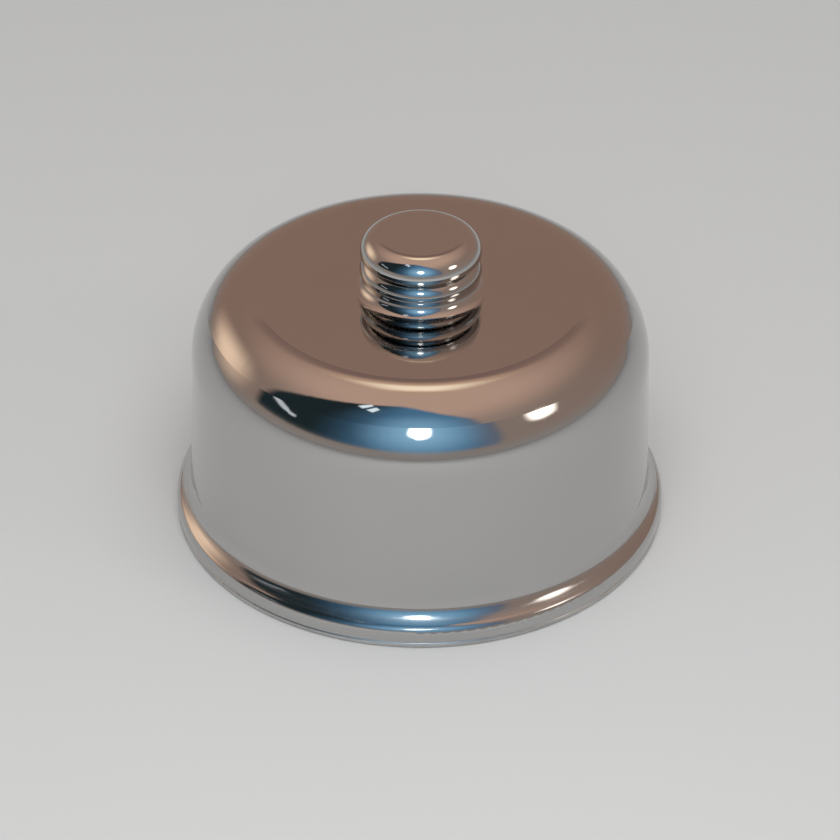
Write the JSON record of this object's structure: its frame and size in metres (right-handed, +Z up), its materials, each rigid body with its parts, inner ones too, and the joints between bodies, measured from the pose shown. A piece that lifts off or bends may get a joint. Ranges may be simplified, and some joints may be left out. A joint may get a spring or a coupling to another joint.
{
  "type": "air filter housing",
  "caption": "Bell-shaped polished sheet-metal air filter housing with a flared brim, a drawn-up boss, a mushroom knob on a centre stud, a round dry filter and a clamped throat.",
  "frame": {"origin": "centre of the plane that the rim stands on", "axes": "+Z up along the stud and the axis of the cover, from the throat towards the knob; +Y towards the clamp screw side"},
  "size_m": [0.1086, 0.1086, 0.0696],
  "materials": {
    "polished_steel": "mirror polished sheet steel",
    "knob_polish": "turned and mirror polished",
    "pan_steel": "pressed zinc-plated steel, satin",
    "collar_steel": "turned steel tube, satin",
    "plain_steel": "bare steel, satin",
    "zinc_fastener": "yellow-tinged zinc plate",
    "rivet_steel": "satin rivet heads",
    "brass_insert": "turned brass",
    "fibre_washer": "red vulcanised fibre",
    "black_rubber": "matte moulded rubber",
    "seal_felt": "pressed grey felt",
    "gasket_paper": "oiled gasket paper",
    "filter_paper": "resin-treated filter paper",
    "foam": "open-cell foam",
    "cage_steel": "galvanised perforated sheet",
    "cap_steel": "tinned sheet steel",
    "screen_steel": "punched sheet steel"
  },
  "bodies": {
    "pan_assembly": {"base_pan": "pan_steel", "cover_gasket": "black_rubber", "inlet_screen": "screen_steel", "throat_collar": "collar_steel", "collar_gasket": "gasket_paper", "collar_clamp": "zinc_fastener", "clamp_nut": "zinc_fastener", "collar_rivets": "rivet_steel", "bridge_rivets": "rivet_steel", "stud_bridge": "plain_steel", "centre_stud": "zinc_fastener", "stud_lower_nut": "zinc_fastener", "stud_lock_washer": "plain_steel", "stud_upper_nut": "zinc_fastener"},
    "clamp_screw_body": {"clamp_screw": "zinc_fastener"},
    "filter_element": {"element_bottom_seal": "seal_felt", "element_bottom_cap": "cap_steel", "element_top_cap": "cap_steel", "element_top_seal": "seal_felt", "inner_cage": "cage_steel", "outer_cage": "cage_steel", "pleated_media": "filter_paper", "foam_prefilter": "foam"},
    "cover_assembly": {"cover_shell": "polished_steel", "cover_doubler": "plain_steel", "cover_pressure_pad": "black_rubber"},
    "knob_assembly": {"knob": "knob_polish", "knob_insert": "brass_insert", "knob_washer": "fibre_washer", "knob_retaining_ring": "plain_steel"}
  },
  "joints": [
    {"name": "cover_lift", "type": "slide", "parent": "pan_assembly", "child": "cover_assembly", "axis": [0, 0, 1], "range_m": [0, 0.13]},
    {"name": "element_lift", "type": "slide", "parent": "pan_assembly", "child": "filter_element", "axis": [0, 0, 1], "range_m": [0, 0.0585]},
    {"name": "knob_spin", "type": "hinge", "parent": "cover_assembly", "child": "knob_assembly", "pos_m": [0, 0, 0.063], "axis": [0, 0, 1], "continuous": true},
    {"name": "clamp_screw_turn", "type": "hinge", "parent": "pan_assembly", "child": "clamp_screw_body", "pos_m": [0, 0.026, 0.005], "axis": [1, 0, 0], "continuous": true}
  ],
  "couplings": [
    {"joint": "element_lift", "follows": "cover_lift", "ratio": 0.45}
  ]
}
